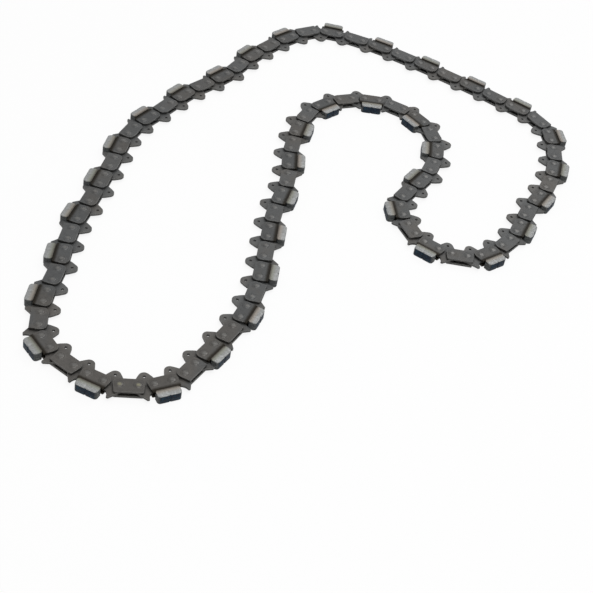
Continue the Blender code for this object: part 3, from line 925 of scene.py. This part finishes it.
def segment_material():
    """Sintered matrix: its flat sides light and a little metallic, the edge round them dark and
    dull, and the bump that of ground streaks and of grit."""
    material, tree, surface = new_material("sintered_diamond_matrix")
    place = attribute(tree, "place")["Vector"]
    mottle = noise(tree, place, MOTTLES_PER_MM, 4)
    grit = add_node(
        tree, "ShaderNodeTexVoronoi", {"Vector": place, "Scale": GRITS_PER_MM},
    ).outputs["Distance"]
    streak = add_node(
        tree, "ShaderNodeMapping", {"Vector": place, "Scale": STREAK_STRETCH},
    ).outputs[0]
    ground = noise(tree, streak, STREAKS_PER_MM, 3)
    up = add_node(tree, "ShaderNodeSeparateXYZ", {0: place}).outputs["Z"]
    from_middle = math(tree, "ABSOLUTE", math(tree, "SUBTRACT", up, MIDDLE_HEIGHT))
    rim = MIDDLE_HEIGHT - SEGMENT_EDGE
    flat = ramp(tree, from_middle, rim - FLAT_FADE, rim + FLAT_FADE)
    edge = cutting_face(tree, place, ground, mottle, grit)
    colour = blended(tree, flat, edge, matrix_top(tree, place, ground, mottle))
    roughness = ramp(tree, mottle, 0.3, 0.7, *MATRIX_ROUGHNESS)
    height = math(tree, "MULTIPLY_ADD", grit, -1.0, ground)
    finish(tree, surface, colour, roughness, height, GRIT_DEPTH)
    edge_specular, more_on_sides = MATRIX_SPECULAR
    tree.links.new(
        math(tree, "MULTIPLY_ADD", flat, more_on_sides, edge_specular),
        surface["Specular IOR Level"],
    )
    tree.links.new(math(tree, "MULTIPLY", flat, MATRIX_METALLIC), surface["Metallic"])
    return material


def add_segments():
    """A segment on every cutter strap pair."""
    shape = segment_shape()
    matrix = segment_material()
    for body, links in stretches():
        mine = [k for k in links if is_cutter(k)]
        if mine and len(links) == 1:
            piece = laid(f"{body}_block", shape, mine)
            dress(piece, matrix, "segment_matrix", body, f"{body}_segment")
        elif mine:
            piece = laid(f"{body}_segment", shape, mine)
            dress(piece, matrix, "run_steel", body, body)


add_segments()

# The set: a pale floor that the camera sees as white but for the chain's shadow, a white
# surround, and broad soft lamps.
FLOOR_SIZE = 12.0          # metres
FLOOR_COLOUR = (0.82, 0.82, 0.82, 1)
FLOOR_WHITENESS = 0.85     # share of plain white that the camera sees in it
WHITE_STRENGTH = 1.03
SURROUND_STRENGTH = 0.36
LAMPS = (
    # place in metres, size in metres, watts
    ((0.1, -0.35, 1.4), 1.1, 11.0),
    ((0.45, 0.9, 1.2), 0.8, 5.0),
)


def white_to_camera(tree, lit, shader_kind, share):
    """A shader mixed with that share of plain white light for rays that the camera, a gloss or a
    glass sends."""
    rays = add_node(tree, "ShaderNodeLightPath").outputs
    seen = math(tree, "MAXIMUM", rays["Is Camera Ray"], rays["Is Glossy Ray"])
    seen = math(tree, "MAXIMUM", seen, rays["Is Transmission Ray"])
    white = add_node(tree, shader_kind, {"Color": (1, 1, 1, 1), "Strength": WHITE_STRENGTH})
    mix = add_node(
        tree, "ShaderNodeMixShader",
        {0: math(tree, "MULTIPLY", seen, share), 1: lit, 2: white.outputs[0]},
    )
    return mix.outputs[0]


def add_floor():
    """A flat square, pale and matt, under the chain."""
    half = FLOOR_SIZE / 2
    mesh = bpy.data.meshes.new("floor")
    mesh.from_pydata(
        [(-half, -half, 0), (half, -half, 0), (half, half, 0), (-half, half, 0)],
        [], [(0, 1, 2, 3)],
    )
    floor = bpy.data.objects.new("floor", mesh)
    bpy.context.scene.collection.objects.link(floor)
    material = bpy.data.materials.new("pale_floor")
    material.use_nodes = True
    tree = material.node_tree
    tree.nodes.remove(tree.nodes["Principled BSDF"])
    matt = add_node(tree, "ShaderNodeBsdfDiffuse", {"Color": FLOOR_COLOUR}).outputs[0]
    tree.links.new(
        white_to_camera(tree, matt, "ShaderNodeEmission", FLOOR_WHITENESS),
        tree.nodes["Material Output"].inputs["Surface"],
    )
    mesh.materials.append(material)


def add_lights():
    """Lamps that face the middle of the chain, and an even surround."""
    for number, (place, size, watts) in enumerate(LAMPS):
        data = bpy.data.lights.new(f"soft_lamp_{number}", "AREA")
        data.size = size
        data.energy = watts
        lamp = bpy.data.objects.new(data.name, data)
        bpy.context.scene.collection.objects.link(lamp)
        lamp.location = place
        x, y, z = place
        lamp.rotation_euler = (np.arctan2(np.hypot(x, y), z), 0, np.arctan2(x, -y))
    world = bpy.data.worlds.new("surround")
    bpy.context.scene.world = world
    world.use_nodes = True
    tree = world.node_tree
    soft = tree.nodes["Background"]
    soft.inputs["Color"].default_value = (1, 1, 1, 1)
    soft.inputs["Strength"].default_value = SURROUND_STRENGTH
    tree.links.new(
        white_to_camera(tree, soft.outputs[0], "ShaderNodeBackground", 1.0),
        tree.nodes["World Output"].inputs["Surface"],
    )


add_floor()
add_lights()
bpy.context.scene.view_settings.view_transform = "Standard"
